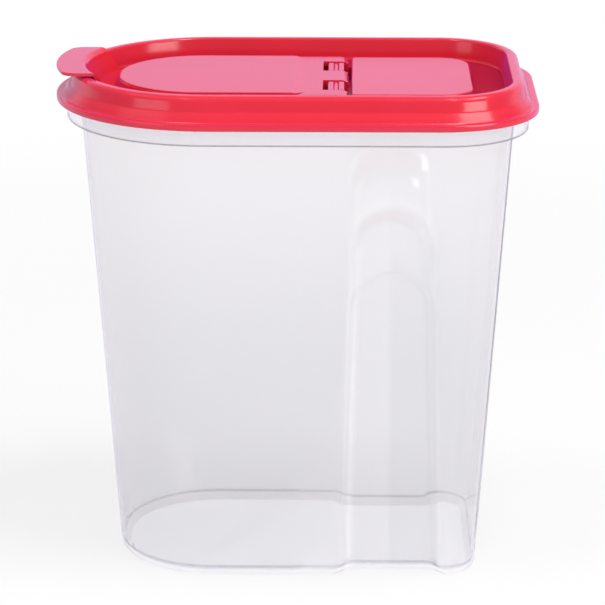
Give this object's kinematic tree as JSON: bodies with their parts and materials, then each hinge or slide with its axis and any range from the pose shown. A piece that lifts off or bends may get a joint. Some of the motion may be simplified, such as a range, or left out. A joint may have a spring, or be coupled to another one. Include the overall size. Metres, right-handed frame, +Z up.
{
  "type": "cereal container with flip spout",
  "caption": "Tapered clear dry-food keeper with finger recesses in both long walls and a ringed press-on lid whose hinged flap, with a thumb tab, uncovers the pouring spout.",
  "frame": {"origin": "on the table, at the middle of the overall box's bottom face", "axes": "+Z up, +X along the length from the pour end to the grip end, +Y across the width from front to back"},
  "size_m": [0.241, 0.154, 0.2567],
  "materials": {
    "clear_tub": "clear moulded polypropylene, faintly milky, glossy",
    "lid_plastic": "red moulded polyethylene, glossy with a soft sheen",
    "flap_plastic": "red moulded polyethylene, glossy with a soft sheen"
  },
  "bodies": {
    "tub_body": {"container": "clear_tub"},
    "lid_body": {"lid": "lid_plastic"},
    "flap_body": {"flip_cover": "flap_plastic"}
  },
  "joints": [
    {"name": "lid_lift", "type": "slide", "parent": "tub_body", "child": "lid_body", "axis": [0, 0, 1], "range_m": [0, 0.08]},
    {"name": "flap_hinge", "type": "hinge", "parent": "lid_body", "child": "flap_body", "pos_m": [0.0202, 0, 0.2469], "axis": [0, 1, 0], "range_deg": [0, 140]}
  ]
}
